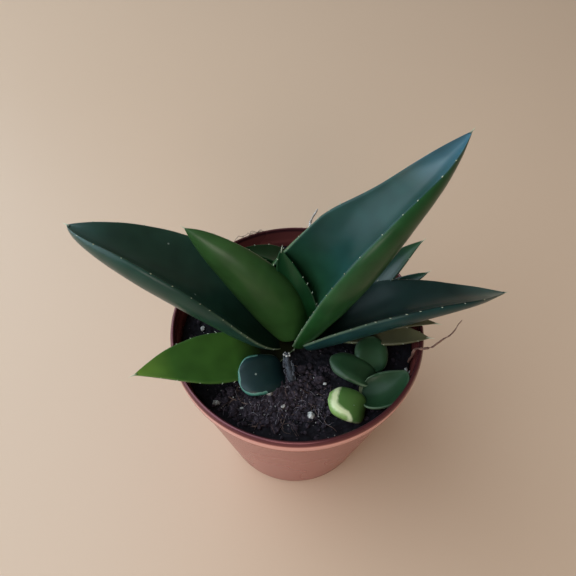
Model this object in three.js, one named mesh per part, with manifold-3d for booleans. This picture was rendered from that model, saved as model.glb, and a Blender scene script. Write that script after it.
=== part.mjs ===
// Potted black gem aloe: a low rosette of thick, channelled leaves in a round tapered pot,
// with a small offset and a few cut leaves at the front.
// Millimetres, +Z up. The origin is the centre of the pot's base, and -Y is the front.
import * as THREE from "three";
import { mergeVertices } from "three/addons/utils/BufferGeometryUtils.js";
import Module from "manifold-3d";

const wasm = await Module();
wasm.setup();

// Gap left between pieces that touch
const CLEARANCE = 0.3;

// Pot: a thin-walled taper with a short collar under a rounded lip
const POT = {
  height: 80,
  rimRadius: 42.5,
  lipWidth: 1.6,
  lipRound: 0.4,
  collarHeight: 6,
  collarTaper: 0.2,
  collarStep: 0.9,
  baseRadius: 31,
  baseRound: 1.2,
  wall: 1.3,
  floor: 1.6,
  segments: 48,
};
const DRAIN = { count: 6, radius: 3, circle: 20, segments: 12 };

// Soil: level near the wall, heaped towards the plant and rough all over
const SOIL = { level: 71.6, rings: 8, spokes: 32, ripple: 0.35 };
const MOUND = { height: 2, spread: 9, x: -6, y: -26 };

// Crumbly clods lie at the front, with pale grains among them
const CLODS = { count: 14, seed: 7, smallest: 1.2, largest: 2.8, x: [-26, 8], y: [-34, -20] };
const GRAIN_RADIUS = 1.1;
const GRAINS = [
  [-25.6, -26],
  [-8.7, -23.7],
  [4.1, -30.9],
  [36, -14.5],
  [37.4, -15.6],
  [-32.7, 1.5],
  [-12.4, -17.4],
];

// The short stem that carries the rosette, and the offset's own crown
const STEM = { x: 2, y: 0, radius: 4.2, bottom: 60, shoulder: 73, top: 78 };
const OFFSET_CROWN = { x: 23, y: -21.5, radius: 3.2, bottom: 64, shoulder: 72, top: 74.5 };
const CROWN_SIDES = 16;

// Margin teeth and tip spines: three-sided, set into the leaf's edge and leaning to its tip
const TOOTH = { radius: 0.42, length: 1.1, sunk: 0.7, first: 0.12, last: 0.86, lean: 0.5 };
const TIP_SPINE = { radius: 0.4, length: 1.4, sunk: 1.4 };

// How finely a leaf is divided along its length and across each face
const LARGE = { along: 16, across: 6 };
const SMALL = { along: 12, across: 4 };

// Each leaf follows a cubic curve from base past two guide points to its tip. width is the arc
// across the widest place, which lies at the fraction widest of the length; the base keeps the
// fraction baseWidth of it, and taper sets how full the run to the tip is. curl is half the
// angle of the channel's arc and roll turns the channel about the curve, both in degrees and
// given at the base, middle and tip. thickness is at the middle of the channel and edge at its
// margins. A leaf with a cutWidth ends in a flat cut that wide, and has no teeth.
const LEAVES = [
  {
    name: "leaf_centre",
    curve: [[4, -1.8, 77.5], [0.6, 0.2, 92.5], [-5.8, 5, 104.4], [-4.9, 7, 108.8]],
    width: 10.4, widest: 0.31, baseWidth: 0.9, taper: 1.45,
    curl: [44, 37, 30], roll: [30, 26, 12], thickness: 2.4, edge: 0.6,
    steps: SMALL, toothPitch: 7,
  },
  {
    name: "leaf_front_left",
    curve: [[-0.5, -2.4, 77.2], [-5.6, -2.6, 91.5], [-21.7, 3.6, 110.9], [-32.2, 6.6, 118.6]],
    width: 18.4, widest: 0.33, baseWidth: 0.77, taper: 1.9,
    curl: [60, 46, 32], roll: [-135, -108, -119], thickness: 3.8, edge: 0.7,
    steps: LARGE, toothPitch: 7,
  },
  {
    name: "leaf_right_tall",
    curve: [[-0.7, 11.6, 74.7], [14.4, -6.8, 112.3], [21.7, -7.2, 135.4], [44.9, 19.5, 141.8]],
    width: 34.3, widest: 0.4, baseWidth: 1.18, taper: 1.4,
    curl: [113, 71, 58.5], roll: [-50.4, 10.7, -4.8], thickness: 5.7, edge: 0.8,
    steps: LARGE, toothPitch: 7,
  },
  {
    name: "leaf_left_rear",
    curve: [[-1, 5, 76], [1, 16.5, 87], [-3, 19.5, 92.5], [-19, 13, 101.5]],
    width: 13, widest: 0.4, baseWidth: 0.8, taper: 1.5,
    curl: [41, 36, 31], roll: [4, -28, 1], thickness: 3, edge: 0.6,
    steps: SMALL, toothPitch: 7,
  },
  {
    name: "leaf_left_large",
    curve: [[-4, 1.5, 77], [-21.5, -1, 90.5], [-45, -3, 117.5], [-65.9, 8.2, 118.3]],
    width: 30.5, widest: 0.48, baseWidth: 0.66, taper: 2.2,
    curl: [65, 56, 47], roll: [47.5, -15, -17], thickness: 5.4, edge: 0.8,
    steps: LARGE, toothPitch: 7,
  },
  {
    name: "leaf_right_rear",
    curve: [[5.5, 3.5, 74.5], [17.5, 8.7, 77.1], [28.5, 16.1, 84.9], [39.6, 15, 103.4]],
    width: 14.4, widest: 0.43, baseWidth: 0.8, taper: 1.55,
    curl: [39, 34.5, 30], roll: [-6.5, -11.5, -6], thickness: 3.2, edge: 0.6,
    steps: SMALL, toothPitch: 7,
  },
  {
    name: "leaf_right_low",
    curve: [[5, -2.3, 74.6], [26, -2.4, 92.3], [42, -3.2, 98.5], [68.3, 5.6, 88.4]],
    width: 24.9, widest: 0.34, baseWidth: 0.66, taper: 2.1,
    curl: [60, 39.25, 18.5], roll: [14, 29, 28.5], thickness: 4.7, edge: 0.7,
    steps: LARGE, toothPitch: 7,
  },
  {
    name: "leaf_right_small",
    curve: [[7, 3, 74.5], [21, 9, 77], [39, 14.5, 82.5], [43.7, 12.7, 90]],
    width: 7, widest: 0.45, baseWidth: 0.8, taper: 1.6,
    curl: [30, 25, 20], roll: [0, 0, 0], thickness: 2.2, edge: 0.6,
    steps: SMALL, toothPitch: 7,
  },
  {
    name: "leaf_left_rim",
    curve: [[-1, -1.5, 73.8], [-16, -15, 75.5], [-32, -14, 84], [-48.8, -23.9, 87.6]],
    width: 17.5, widest: 0.54, baseWidth: 0.4, taper: 1.8,
    curl: [19, 14.75, 10.5], roll: [13, 9, -11], thickness: 3.8, edge: 0.7,
    steps: LARGE, toothPitch: 7,
  },
  {
    name: "leaf_right_under",
    curve: [[7, -1, 74.5], [21, -2, 76.5], [33, -4.6, 79.5], [42.9, -7.9, 82]],
    width: 9.5, widest: 0.5, baseWidth: 0.7, taper: 1.8,
    curl: [25, 18.5, 12], roll: [0, 0, 0], thickness: 3, edge: 0.6,
    steps: SMALL, toothPitch: 7,
  },
  {
    name: "leaf_right_hidden",
    curve: [[9, -1, 75.5], [21, 0, 78.5], [35, -0.5, 83], [45.6, -3.8, 84]],
    width: 7, widest: 0.45, baseWidth: 0.7, taper: 1.7,
    curl: [25, 18.5, 12], roll: [0, 0, 0], thickness: 2.2, edge: 0.6,
    steps: SMALL, toothPitch: 7,
  },
  {
    name: "cut_leaf_front",
    curve: [[-4.6, -15.2, 73.6], [-8, -17.7, 78.3], [-12.5, -19.8, 79.8], [-18.6, -20.2, 79]],
    width: 12.4, widest: 0.6, baseWidth: 0.75, taper: 2, cutWidth: 0.85,
    curl: [14, 14, 14], roll: [12, 14, 16], thickness: 5.2, edge: 2.6,
    steps: SMALL,
  },
  {
    name: "offset_leaf_rear",
    curve: [[24, -16.5, 74.5], [24.2, -13.5, 77.3], [24.3, -10, 79], [24.4, -5.6, 79.2]],
    width: 10.4, widest: 0.5, baseWidth: 0.7, taper: 2, cutWidth: 0.65,
    curl: [14, 14, 14], roll: [0, 0, 0], thickness: 4.6, edge: 2.2,
    steps: SMALL,
  },
  {
    name: "offset_leaf_left",
    curve: [[25, -19, 74.5], [20.8, -17.3, 77.5], [16, -15, 79], [10.7, -13, 78]],
    width: 8.5, widest: 0.5, baseWidth: 0.75, taper: 2, cutWidth: 0.6,
    curl: [14, 14, 14], roll: [0, 0, 0], thickness: 4.6, edge: 2.4,
    steps: SMALL,
  },
  {
    name: "offset_leaf_right",
    curve: [[20.5, -23.5, 74], [26, -25.2, 75.4], [30.4, -23.2, 77], [34.4, -18.2, 79]],
    width: 11.6, widest: 0.45, baseWidth: 0.8, taper: 2, cutWidth: 0.3,
    curl: [50, 45, 40], roll: [0, 0, 0], thickness: 2.6, edge: 0.8,
    steps: SMALL,
  },
  {
    name: "offset_leaf_front",
    curve: [[21, -29.6, 73.5], [19.6, -29.4, 77.3], [15, -28, 79.2], [9.6, -26.2, 78.2]],
    width: 9.8, widest: 0.5, baseWidth: 0.8, taper: 2, cutWidth: 0.75,
    curl: [12, 12, 12], roll: [0, 0, 0], thickness: 5.6, edge: 3,
    steps: SMALL,
  },
];

// Dry remains: the old stem's stub at the front, a root over the right of the rim and a wisp
// at the back. Each is a round-sided strand whose radius runs from the first to the last point.
const STRANDS = [
  {
    name: "old_stem",
    points: [[-1.5, -20.5, 70.5], [-2.2, -18, 75], [-3, -14.5, 77], [-3.5, -11.5, 79]],
    radius: [2, 1.1], steps: 8, sides: 7, knobs: 0.25,
  },
  {
    name: "dry_root",
    points: [
      [37.4, -10.9, 70], [37.8, -11, 76], [38.1, -11.2, 80.6], [40.3, -11.8, 82],
      [42.8, -11.6, 82.8], [45.9, -9.8, 84], [48.5, -8.8, 86], [52.1, -4.8, 88],
    ],
    radius: [0.5, 0.35], steps: 22, sides: 6, knobs: 0.1,
  },
  {
    name: "dry_wisp",
    points: [[5, 37.8, 70], [5, 38.8, 77], [5.2, 39.5, 81], [5.8, 42.2, 83.4], [8.1, 43.6, 88]],
    radius: [0.55, 0.35], steps: 14, sides: 6, knobs: 0.1,
  },
];

const COLOURS = {
  pot: 0xb07a6c,
  soil: 0x1d1a1e,
  leaf: 0x2c4636,
  paleLeaf: 0x4f7a38,
  cutLeaf: 0x243836,
  stem: 0x6f7d4a,
  dry: 0x5b4a3c,
};
const FULL_TURN = Math.PI * 2;
const DEG = Math.PI / 180;
const UP = new THREE.Vector3(0, 0, 1);

// Repeatable draws between 0 and 1
function makeRandom(seed) {
  let state = seed;
  return () => {
    state = (state * 1664525 + 1013904223) % 4294967296;
    return state / 4294967296;
  };
}

function vector(point) {
  return new THREE.Vector3(...point);
}

function mix(from, to, t) {
  return from + (to - from) * t;
}

// The value at t of the parabola through start, middle and end
function throughThree([start, middle, end], t) {
  return start * (1 - t) * (1 - 2 * t) + 4 * middle * t * (1 - t) + end * t * (2 * t - 1);
}

function bufferGeometry(points, triangles) {
  const geometry = new THREE.BufferGeometry();
  const places = points.flatMap((point) => point.toArray());
  geometry.setAttribute("position", new THREE.Float32BufferAttribute(places, 3));
  geometry.setIndex(triangles.flat());
  return geometry;
}

function toSolid(geometry) {
  const bare = geometry.clone();
  bare.deleteAttribute("normal");
  bare.deleteAttribute("uv");
  const merged = mergeVertices(bare);
  const mesh = new wasm.Mesh({
    numProp: 3,
    vertProperties: new Float32Array(merged.attributes.position.array),
    triVerts: new Uint32Array(merged.index.array),
  });
  return new wasm.Manifold(mesh);
}

function toGeometry(solid) {
  const mesh = solid.getMesh();
  const places = new Float32Array(mesh.vertProperties);
  const geometry = new THREE.BufferGeometry();
  geometry.setAttribute("position", new THREE.BufferAttribute(places, 3));
  geometry.setIndex(new THREE.BufferAttribute(new Uint32Array(mesh.triVerts), 1));
  geometry.computeVertexNormals();
  return geometry;
}

// The body that is left when cutting has parted scraps from a piece
function largestBody(solid) {
  const bodies = solid.decompose();
  return bodies.reduce((best, body) => (body.volume() > best.volume() ? body : best));
}

// How much of the leaf's full width is left at t
function widthShare(leaf, t) {
  if (t < leaf.widest) {
    return 1 - (1 - leaf.baseWidth) * ((leaf.widest - t) / leaf.widest) ** 2;
  }
  const run = ((t - leaf.widest) / (1 - leaf.widest)) ** leaf.taper;
  return 1 - run * (1 - (leaf.cutWidth ?? 0));
}

// Place and directions of the leaf's section at t: along the leaf, across it and out of its
// upper face
function leafFrame(leaf, t) {
  const curve = new THREE.CubicBezierCurve3(...leaf.curve.map(vector));
  const origin = curve.getPoint(t);
  const along = curve.getTangent(t);
  const heading = curve.v3.clone().sub(curve.v0).setZ(0).normalize();
  const level = heading.cross(UP);
  const across = level.addScaledVector(along, -level.dot(along)).normalize();
  across.applyAxisAngle(along, -throughThree(leaf.roll, t) * DEG);
  return { origin, along, across, out: across.clone().cross(along) };
}

// One section: points across the upper face, then back across the lower face. grow moves both
// faces and the margins outwards.
function leafSection(leaf, t, grow) {
  const { origin, across, out } = leafFrame(leaf, t);
  const share = widthShare(leaf, t);
  const curl = throughThree(leaf.curl, t) * DEG;
  const radius = (leaf.width * share) / 2 / curl;
  const reach = curl + (grow * 1.5) / radius;
  const upper = [];
  const lower = [];
  for (let j = 0; j <= leaf.steps.across; j += 1) {
    const side = (2 * j) / leaf.steps.across - 1;
    const angle = reach * side;
    const normal = out.clone()
      .multiplyScalar(Math.cos(angle))
      .addScaledVector(across, -Math.sin(angle));
    const face = origin.clone()
      .addScaledVector(across, radius * Math.sin(angle))
      .addScaledVector(out, radius * (1 - Math.cos(angle)));
    const bulge = (1 - Math.abs(side) ** 2.2) ** 0.7;
    const depth = mix(leaf.edge, leaf.thickness, bulge) * Math.min(1, share ** 0.8);
    upper.push(face.clone().addScaledVector(normal, grow));
    lower.unshift(face.addScaledVector(normal, -depth - grow));
  }
  return [...upper, ...lower];
}

// Adds the triangles between rings of the same number of points
function joinRings(rings, size, triangles) {
  for (let i = 0; i + 1 < rings; i += 1) {
    for (let j = 0; j < size; j += 1) {
      const a = i * size + j;
      const b = i * size + ((j + 1) % size);
      triangles.push([a, b, a + size], [b, b + size, a + size]);
    }
  }
}

function leafGeometry(leaf, grow) {
  const { along, across } = leaf.steps;
  const size = 2 * (across + 1);
  const rings = leaf.cutWidth ? along + 1 : along;
  const points = [];
  const triangles = [];
  for (let i = 0; i < rings; i += 1) {
    points.push(...leafSection(leaf, i / along, grow));
  }
  joinRings(rings, size, triangles);
  const end = (rings - 1) * size;
  for (let j = 0; j < across; j += 1) {
    const below = size - 1 - j;
    triangles.push([j, below, below - 1], [j, below - 1, j + 1]);
    if (leaf.cutWidth) {
      triangles.push([end + j, end + below - 1, end + below]);
      triangles.push([end + j, end + j + 1, end + below - 1]);
    }
  }
  if (!leaf.cutWidth) {
    const { origin, along: ahead } = leafFrame(leaf, 1);
    points.push(origin.addScaledVector(ahead, grow));
    for (let j = 0; j < size; j += 1) {
      triangles.push([end + j, end + ((j + 1) % size), points.length - 1]);
    }
  }
  return bufferGeometry(points, triangles);
}

// A three-sided spine whose foot is sunk into what carries it
function spineSolid(spine, foot, direction, grow) {
  const height = spine.length + spine.sunk + 2 * grow;
  const cone = new THREE.ConeGeometry(spine.radius + 2 * grow, height, 3);
  cone.translate(0, height / 2 - spine.sunk, 0);
  const turn = new THREE.Quaternion().setFromUnitVectors(new THREE.Vector3(0, 1, 0), direction);
  cone.applyQuaternion(turn);
  cone.translate(foot.x, foot.y, foot.z);
  return toSolid(cone);
}

function leafSolid(leaf, grow = 0) {
  let solid = toSolid(leafGeometry(leaf, grow));
  if (leaf.cutWidth) {
    return solid;
  }
  const length = new THREE.CubicBezierCurve3(...leaf.curve.map(vector)).getLength();
  const count = Math.round((length * (TOOTH.last - TOOTH.first)) / leaf.toothPitch);
  for (let i = 0; i <= count; i += 1) {
    const t = mix(TOOTH.first, TOOTH.last, i / count);
    const { along } = leafFrame(leaf, t);
    const ring = leafSection(leaf, t, 0);
    const last = leaf.steps.across;
    for (const [edge, inner, under] of [[0, 1, ring.length - 1], [last, last - 1, last + 1]]) {
      const foot = ring[edge].clone().add(ring[under]).multiplyScalar(0.5);
      const direction = ring[edge].clone().sub(ring[inner]).normalize();
      direction.addScaledVector(along, TOOTH.lean).normalize();
      solid = solid.add(spineSolid(TOOTH, foot, direction, grow));
    }
  }
  const tip = leafFrame(leaf, 1);
  return solid.add(spineSolid(TIP_SPINE, tip.origin, tip.along, grow));
}

// A lathe about the vertical through x and y, from a profile of [radius, height]
function turned(profile, segments, x = 0, y = 0) {
  const outline = profile.map(([radius, height]) => new THREE.Vector2(radius, height));
  const geometry = new THREE.LatheGeometry(outline, segments);
  geometry.rotateX(Math.PI / 2);
  geometry.translate(x, y, 0);
  return geometry;
}

function crownSolid(crown, grow = 0) {
  const radius = crown.radius + grow;
  const profile = [[0, crown.bottom - grow], [radius * 0.5, crown.bottom - grow]];
  profile.push([radius, crown.bottom + radius], [radius, crown.shoulder]);
  for (const angle of [30, 60]) {
    const rise = (crown.top + grow - crown.shoulder) * Math.sin(angle * DEG);
    profile.push([radius * Math.cos(angle * DEG), crown.shoulder + rise]);
  }
  profile.push([0, crown.top + grow]);
  return toSolid(turned(profile, CROWN_SIDES, crown.x, crown.y));
}

const bodyTop = POT.height - POT.collarHeight - POT.collarStep;
const bodyTopRadius = POT.rimRadius - POT.collarTaper - POT.collarStep;

// Inside radius of the pot's tapered wall at a height
function innerRadius(height) {
  return mix(POT.baseRadius, bodyTopRadius, height / bodyTop) - POT.wall;
}

function potSolid() {
  const { height, rimRadius, lipWidth, lipRound, collarHeight, collarTaper } = POT;
  const lipInside = rimRadius - lipWidth;
  const profile = [
    [0, 0],
    [POT.baseRadius - POT.baseRound, 0],
    [POT.baseRadius, POT.baseRound],
    [bodyTopRadius, bodyTop],
    [rimRadius - collarTaper, height - collarHeight],
    [rimRadius, height - lipRound],
    [rimRadius - lipRound, height],
    [lipInside + lipRound, height],
    [lipInside, height - lipRound],
    [lipInside, height - collarHeight],
    [innerRadius(bodyTop), bodyTop],
    [innerRadius(POT.floor), POT.floor],
    [0, POT.floor],
  ];
  let pot = toSolid(turned(profile, POT.segments));
  for (let i = 0; i < DRAIN.count; i += 1) {
    const angle = (FULL_TURN * i) / DRAIN.count;
    const hole = new THREE.CylinderGeometry(DRAIN.radius, DRAIN.radius, POT.floor * 4, DRAIN.segments);
    hole.rotateX(Math.PI / 2);
    hole.translate(DRAIN.circle * Math.cos(angle), DRAIN.circle * Math.sin(angle), 0);
    pot = pot.subtract(toSolid(hole));
  }
  return pot;
}

// The room that the pot's wall and lip need, from the soil's depth up
function wallRoom() {
  const bottom = STEM.bottom;
  const beyond = POT.rimRadius * 1.2;
  const lipInside = POT.rimRadius - POT.lipWidth - CLEARANCE;
  const profile = [
    [innerRadius(bottom) - CLEARANCE, bottom],
    [beyond, bottom],
    [beyond, POT.height + CLEARANCE],
    [lipInside, POT.height + CLEARANCE],
    [lipInside, POT.height - POT.collarHeight - CLEARANCE],
    [innerRadius(bodyTop) - CLEARANCE, bodyTop - CLEARANCE],
    [innerRadius(bottom) - CLEARANCE, bottom],
  ];
  return toSolid(turned(profile, POT.segments));
}

// Height of the soil at x and y, without clods
function soilHeight(x, y) {
  const away = ((x - MOUND.x) ** 2 + (y - MOUND.y) ** 2) / (2 * MOUND.spread ** 2);
  const ripple = Math.sin(x * 0.61 + 1.3) * Math.cos(y * 0.53) + Math.sin(x * 0.27 - y * 0.39);
  return SOIL.level + MOUND.height * Math.exp(-away) + SOIL.ripple * ripple;
}

function soilBed() {
  const { rings, spokes, level } = SOIL;
  const floor = POT.floor + CLEARANCE;
  const radius = innerRadius(level) - CLEARANCE;
  const points = [];
  const triangles = [];
  const ring = (r, height) => {
    for (let j = 0; j < spokes; j += 1) {
      const angle = (FULL_TURN * j) / spokes;
      const x = r * Math.cos(angle);
      const y = r * Math.sin(angle);
      points.push(new THREE.Vector3(x, y, height ?? soilHeight(x, y)));
    }
  };
  ring(innerRadius(floor) - CLEARANCE, floor);
  ring(radius, level - 1);
  for (let i = rings; i > 0; i -= 1) {
    ring(((radius - CLEARANCE) * i) / rings);
  }
  joinRings(rings + 2, spokes, triangles);
  const top = points.push(new THREE.Vector3(0, 0, soilHeight(0, 0))) - 1;
  const bottom = points.push(new THREE.Vector3(0, 0, floor)) - 1;
  const last = (rings + 1) * spokes;
  for (let j = 0; j < spokes; j += 1) {
    const next = (j + 1) % spokes;
    triangles.push([last + j, last + next, top], [next, j, bottom]);
  }
  return toSolid(bufferGeometry(points, triangles));
}

// A faceted lump, sunk to its middle in the soil
function lumpSolid(x, y, radius, random) {
  const lump = new THREE.IcosahedronGeometry(radius, 0);
  lump.scale(mix(0.8, 1.2, random()), mix(0.8, 1.2, random()), mix(0.6, 0.9, random()));
  lump.rotateZ(FULL_TURN * random());
  lump.translate(x, y, soilHeight(x, y) + radius * 0.2);
  return toSolid(lump);
}

function soilSolid() {
  const random = makeRandom(CLODS.seed);
  let soil = soilBed();
  for (let i = 0; i < CLODS.count; i += 1) {
    const x = mix(...CLODS.x, random());
    const y = mix(...CLODS.y, random());
    soil = soil.add(lumpSolid(x, y, mix(CLODS.smallest, CLODS.largest, random()), random));
  }
  for (const [x, y] of GRAINS) {
    soil = soil.add(lumpSolid(x, y, GRAIN_RADIUS, random));
  }
  return soil;
}

// A closed round-sided strand along a smooth curve through its points
function strandSolid(strand, grow = 0) {
  const curve = new THREE.CatmullRomCurve3(strand.points.map(vector));
  const { steps, sides } = strand;
  const { normals, binormals } = curve.computeFrenetFrames(steps, false);
  const points = [];
  const triangles = [];
  for (let i = 0; i <= steps; i += 1) {
    const centre = curve.getPointAt(i / steps);
    const knob = 1 + strand.knobs * Math.sin(i * 2.4);
    const radius = mix(...strand.radius, i / steps) * knob + grow;
    for (let j = 0; j < sides; j += 1) {
      const angle = (FULL_TURN * j) / sides;
      points.push(centre.clone()
        .addScaledVector(normals[i], radius * Math.cos(angle))
        .addScaledVector(binormals[i], radius * Math.sin(angle)));
    }
  }
  joinRings(steps + 1, sides, triangles);
  const end = steps * sides;
  for (let j = 1; j + 1 < sides; j += 1) {
    triangles.push([0, j + 1, j], [end, end + j, end + j + 1]);
  }
  return toSolid(bufferGeometry(points, triangles));
}

const group = new THREE.Group();

function addPiece(name, solid, colour, roughness) {
  const material = new THREE.MeshStandardMaterial({ color: colour, roughness, metalness: 0 });
  const mesh = new THREE.Mesh(toGeometry(solid), material);
  mesh.name = name;
  group.add(mesh);
}

function leafColour(name) {
  if (name === "leaf_left_rim" || name === "offset_leaf_front") {
    return COLOURS.paleLeaf;
  }
  return name.startsWith("leaf") ? COLOURS.leaf : COLOURS.cutLeaf;
}

// Pieces nest from the inside out: each one is cut by the room that those before it need
const rooms = [wallRoom()];

function nest(name, solid, room, colour, roughness) {
  const cut = rooms.reduce((body, other) => body.subtract(other), solid);
  addPiece(name, largestBody(cut), colour, roughness);
  rooms.push(room);
}

function build() {
  addPiece("pot", potSolid(), COLOURS.pot, 0.5);
  for (const [name, crown] of [["stem", STEM], ["offset_crown", OFFSET_CROWN]]) {
    nest(name, crownSolid(crown), crownSolid(crown, CLEARANCE), COLOURS.stem, 0.6);
  }
  for (const leaf of LEAVES) {
    nest(leaf.name, leafSolid(leaf), leafSolid(leaf, CLEARANCE), leafColour(leaf.name), 0.35);
  }
  for (const strand of STRANDS) {
    nest(strand.name, strandSolid(strand), strandSolid(strand, CLEARANCE), COLOURS.dry, 0.8);
  }
  nest("soil", soilSolid(), soilSolid(), COLOURS.soil, 0.95);
}

build();

export default group;
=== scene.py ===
"""Looks of the potted black gem aloe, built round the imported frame.

Lengths in the tables are millimetres, as in the part's source, unless a comment says
otherwise. The meshes are metres.
"""
import math
import random

import bmesh
import bpy
import numpy as np
from mathutils import Euler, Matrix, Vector, noise


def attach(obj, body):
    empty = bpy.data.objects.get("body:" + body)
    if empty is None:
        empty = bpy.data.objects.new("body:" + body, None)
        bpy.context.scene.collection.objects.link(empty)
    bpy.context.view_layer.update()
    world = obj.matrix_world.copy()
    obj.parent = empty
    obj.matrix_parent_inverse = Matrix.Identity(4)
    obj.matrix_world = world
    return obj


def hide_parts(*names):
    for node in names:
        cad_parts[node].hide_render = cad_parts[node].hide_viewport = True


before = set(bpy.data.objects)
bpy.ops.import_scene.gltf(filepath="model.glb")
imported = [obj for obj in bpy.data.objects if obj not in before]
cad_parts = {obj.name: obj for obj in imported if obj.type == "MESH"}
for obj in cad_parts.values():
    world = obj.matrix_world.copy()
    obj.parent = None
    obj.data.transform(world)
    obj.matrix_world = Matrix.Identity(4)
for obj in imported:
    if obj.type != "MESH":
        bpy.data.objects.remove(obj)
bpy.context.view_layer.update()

# The same noise in every run
noise.seed_set(4)

MM = 0.001
BODY = "root"
FULL_TURN = 2 * math.pi

# Camera: where the photograph was taken from, looking down at the front of the pot
CAMERA = dict(place=(-3.0, -91.9, 228.2), tilt=35.37, lens=32.5, sensor=36.0, near=10.0)

# Floor and lights, in metres. Each light aims at the plant. The sky is brightest where x is
# lowest, and fades between two places along x.
FLOOR = dict(half=1.6, colour=(0.64, 0.445, 0.31), shade=0.985, roughness=0.4)
AIM = (0.0, 0.0, 0.09)
SKY = dict(bright=(0.76, 0.88, 0.96), dim=(0.48, 0.37, 0.28), between=(-0.7, 0.5), strength=0.42)
LIGHTS = [
    dict(name="side", azimuth=180, elevation=40, distance=0.85, size=(1.8, 1.3),
         power=17.0, colour=(0.72, 0.88, 1.0)),
    dict(name="front", azimuth=266, elevation=25, distance=1.0, size=(0.5, 0.35),
         power=2.6, colour=(1.0, 0.88, 0.78)),
]

# Pot: a thin-walled taper with a short collar under a rounded lip. Its wall steps out by step
# below the collar, over the height soft.
POT = dict(
    height=80.0, rim=42.5, lip=1.6, round=0.5, outer_round=(1.2, 3.0),
    collar=6.0, collar_round=0.35, taper=0.2, step=0.9, soft=0.3,
    base=31.0, base_round=1.2, wall=1.3, floor=1.6, sides=256,
)
DRAIN = dict(count=6, radius=3.0, circle=20.0, sides=32, bottom=-2.0, top=4.0)
BODY_TOP = POT["height"] - POT["collar"] - POT["step"]
BODY_TOP_RADIUS = POT["rim"] - POT["taper"] - POT["step"]

# The pot's tones. Beyond the radius outside, the collar gets a painted highlight: its four
# heights say where that fades in and out. The lip gets painted shade between its two heights.
POT_TONES = dict(
    wall=((0.33, 0.077, 0.068), (0.37, 0.094, 0.084)),
    collar=(0.8, 0.41, 0.37), collar_highlight_heights=(74.5, 75.7, 78.0, 78.7), outside=41.3,
    lip=(0.13, 0.034, 0.04), lip_shade_heights=(78.1, 78.8),
    gloss=(0.25, 0.29), metallic=0.55, specular=0.6,
)

# Soil: level near the wall, heaped towards the plant and crumbly all over, most on the heap.
# crumb lists the width and height of its crumbs, and heap_crumb adds to the height there.
# Loose parts lie within reach of the middle.
SOIL = dict(
    level=71.6, ripple=0.35, rings=120, spokes=300, gap=0.3, edge=1.0,
    crumb=[(3.1, 0.55), (1.3, 0.45), (0.55, 0.25)], heap_crumb=1.4, box=39.0, reach=38.2,
)
MOUND = dict(height=2.0, spread=9.0, x=-6.0, y=-26.0)
HEAP = dict(x=(-27.0, 13.0), y=(-35.0, -12.0), middle=(-5.0, -24.0), reach=(11.0, 6.5))

# Loose crumbs, clods and pale grains. on_heap is the share of them on the heap at the front, a
# higher power makes small ones commoner, and sunk is a share of the radius.
LUMP = dict(bump=0.75, rough=0.55, wide=(0.8, 1.25), tall=(0.6, 0.95))
CRUMBS = dict(
    count=2800, on_heap=0.72, smallest=0.15, largest=0.75, power=2, detail=2, sunk=0, uneven=0.3,
    seed=11,
)
CLODS = dict(count=60, on_heap=1, smallest=0.8, largest=1.9, power=1.5, detail=4, sunk=0.4, seed=7)
GRAIN_DUST = dict(
    count=420, on_heap=0.75, smallest=0.09, largest=0.27, power=2, detail=1, sunk=-0.5, seed=3,
)
GRAINS_SUNK = -0.2
GRAINS = [
    (-25.6, -26.0, 1.1), (-8.7, -23.7, 1.15), (4.1, -30.9, 0.95), (36.0, -14.5, 0.7),
    (37.4, -15.6, 0.75), (-32.7, 1.5, 0.8), (-12.4, -17.4, 0.6), (-4.6, -27.9, 0.55),
    (9.0, -19.5, 0.5), (-17.5, -28.0, 0.5),
]

# Strands that loop out of the crumbs. A stick runs between two places and has a radius. A hair
# lies along the lip between two angles in degrees.
ROOTLETS = dict(count=90, shortest=3.0, longest=9.0, radius=0.09, lift=1.3, sides=6, seed=5)
THREADS = dict(count=110, shortest=2.0, longest=6.0, radius=0.045, lift=1.8, sides=5, seed=19)
STRANDS_ON_HEAP = 0.85
STICKS = [
    ((-22.0, -24.1), (-11.1, -28.7), 0.28), ((-16.4, -28.7), (-10.2, -27.6), 0.22),
    ((-14.1, -34.0), (-9.1, -33.6), 0.25),
]
RIM_HAIRS = dict(
    angles=[(108, 116), (110, 107), (113, 119), (116, 109), (118, 123)],
    inset=1.0, wander=0.5, lift=1.6, sunk=0.05, radius=0.1, seed=23,
)

# The short stem that carries the rosette, and the offset's own crown. The rings that old
# leaves leave lie one below the other, and their depth is a share of the radius.
STEM = dict(x=2.0, y=0.0, radius=4.2, bottom=60.0, shoulder=73.0, top=78.0)
OFFSET_CROWN = dict(x=23.0, y=-21.5, radius=3.2, bottom=64.0, shoulder=72.0, top=74.5)
CROWN_RINGS = dict(smallest=0.96, depth=0.035, turn=2.1)

# Dry remains, as routes with the radius at their start and end. knob is how much the radius
# varies along them.
OLD_STEM = dict(
    route=[(-1.5, -20.5, 70.5), (-2.2, -18, 75), (-3, -14.5, 77), (-3.5, -11.5, 79)],
    radius=(1.25, 0.7), knob=0.25, fibres=26, flecks=9, seed=31,
)
DRY_ROOT = dict(
    route=[(37.4, -10.9, 70), (37.8, -11, 76), (38.1, -11.2, 80.6), (40.3, -11.8, 82),
           (42.8, -11.6, 82.8), (45.9, -9.8, 84), (48.5, -8.8, 86), (52.1, -4.8, 88)],
    radius=(0.42, 0.2), knob=0.7,
)
DRY_WISP = dict(
    route=[(5, 37.8, 70), (5, 38.8, 77), (5.2, 39.5, 81), (5.8, 42.2, 83.4), (8.1, 43.6, 88)],
    radius=(0.6, 0.4), knob=0.6,
)

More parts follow.
